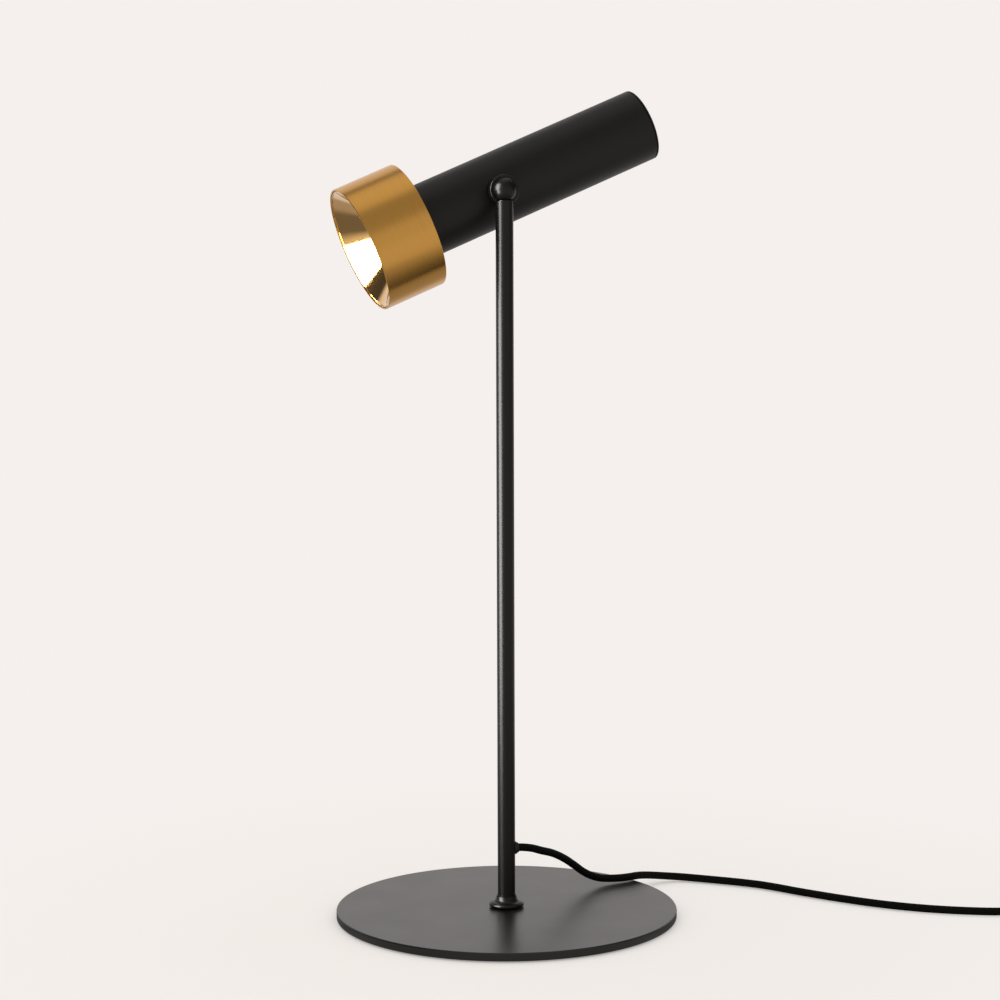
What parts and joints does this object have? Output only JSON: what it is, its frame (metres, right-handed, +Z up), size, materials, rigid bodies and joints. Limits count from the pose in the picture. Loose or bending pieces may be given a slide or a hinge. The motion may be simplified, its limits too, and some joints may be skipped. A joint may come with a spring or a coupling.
{
  "type": "table lamp",
  "caption": "Adjustable table spot lamp: a black tube head with a wide brass ring shade tilts beside a thin stem on a round steel base, with a textile cord, inline switch and plug.",
  "frame": {"origin": "middle of the base's underside, on the table", "axes": "+Z up along the stem, -X the way the light points at rest, +Y along the tilt axis from the ball to the tube head; the cord leaves the stem to +X"},
  "size_m": [0.5218, 0.2332, 0.4849],
  "materials": {
    "coat": "fine textured black powder coat",
    "satin": "satin black coat",
    "brass": "satin brushed",
    "pins": "nickel plated",
    "gold_mirror": "mirror polished, gold anodised",
    "zinc": "zinc plated",
    "aluminium": "bare",
    "nylon": "matt white",
    "black_plastic": "matt black",
    "black_rubber": "matt black",
    "felt": "black felt",
    "cord": "black woven textile",
    "brown_wire": "smooth brown",
    "blue_wire": "smooth blue",
    "red_wire": "smooth red",
    "black_wire": "smooth black",
    "emitter": "matt yellow",
    "frost": "frosted"
  },
  "bodies": {
    "stand": {"base_pad": "felt", "base_plate": "coat", "base_screw": "zinc", "foot_collar": "satin", "stem_insert": "zinc", "stem_tube": "satin", "cord_grommet": "black_rubber", "stem_wire_live": "brown_wire", "stem_wire_neutral": "blue_wire", "ball_knuckle": "satin", "pivot_bolt": "zinc", "friction_washer": "nylon", "spring_washer": "zinc", "pivot_nut": "zinc", "cord_to_switch": "cord", "switch_base": "black_plastic", "switch_cover": "black_plastic", "switch_screw_1": "zinc", "switch_screw_2": "zinc", "cord_to_coil": "cord", "cord_coil": "cord", "coil_tie": "black_rubber", "cord_tail": "cord", "plug_body": "black_plastic", "plug_pin_1": "pins", "plug_pin_2": "pins"},
    "head": {"pivot_saddle": "coat", "inner_saddle": "zinc", "head_tube": "coat", "rear_cap": "coat", "heat_sink": "aluminium", "shade_ring": "brass", "shade_ring_nut": "zinc", "reflector": "gold_mirror", "light_board": "aluminium", "light_emitter": "emitter", "diffuser_dome": "frost", "light_driver": "nylon", "terminal_block": "nylon", "head_wire_live": "brown_wire", "head_wire_neutral": "blue_wire", "light_lead_plus": "red_wire", "light_lead_minus": "black_wire"},
    "rocker": {"switch_rocker": "black_plastic"}
  },
  "joints": [
    {"name": "head_tilt", "type": "hinge", "parent": "stand", "child": "head", "pos_m": [0, 0, 0.4243], "axis": [0, 1, 0], "range_deg": [-26.6, 113.4]},
    {"name": "switch_rock", "type": "hinge", "parent": "stand", "child": "rocker", "pos_m": [0.336, -0.1143, 0.015], "axis": [0.3502, 0.9367, 0], "range_deg": [0, 16]}
  ]
}
